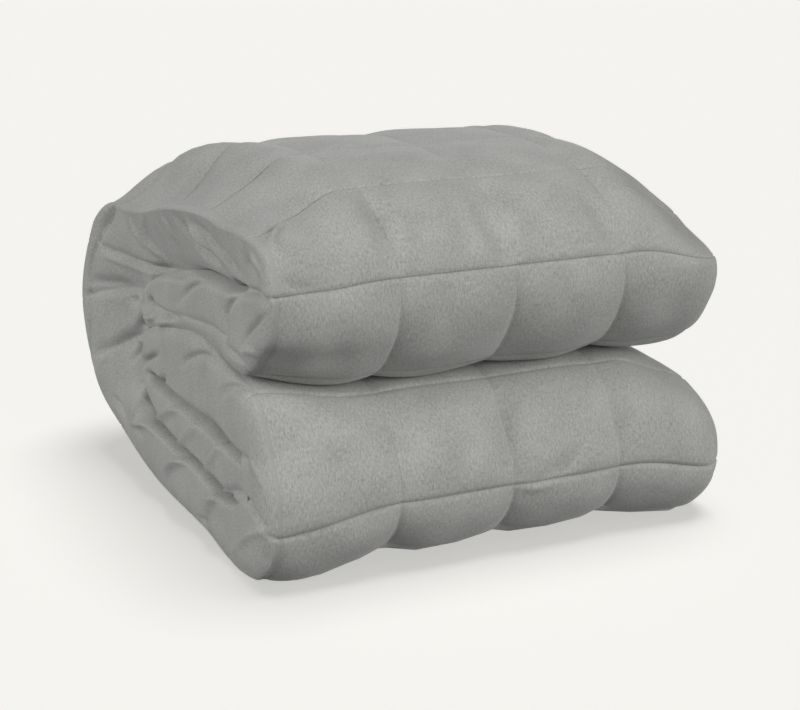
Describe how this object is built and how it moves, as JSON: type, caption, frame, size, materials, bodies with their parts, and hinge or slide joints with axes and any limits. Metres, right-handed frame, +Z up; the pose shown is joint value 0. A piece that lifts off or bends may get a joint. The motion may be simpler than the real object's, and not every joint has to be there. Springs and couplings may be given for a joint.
{
  "type": "folded weighted blanket",
  "caption": "Quilted weighted blanket folded into a thick two-roll stack, open at the front, joined by a rounded spine at the back.",
  "frame": {"origin": "centre of the bounding box's base, on the surface that the blanket lies on", "axes": "+X along the front, from the folded left end to the right end; +Y from the open front to the rounded spine; +Z up"},
  "size_m": [0.4308, 0.4972, 0.3172],
  "materials": {
    "fabric": "brushed heathered cotton, matt, warm mid grey"
  },
  "bodies": {
    "root": {"quilted_blanket": "fabric"}
  },
  "joints": []
}
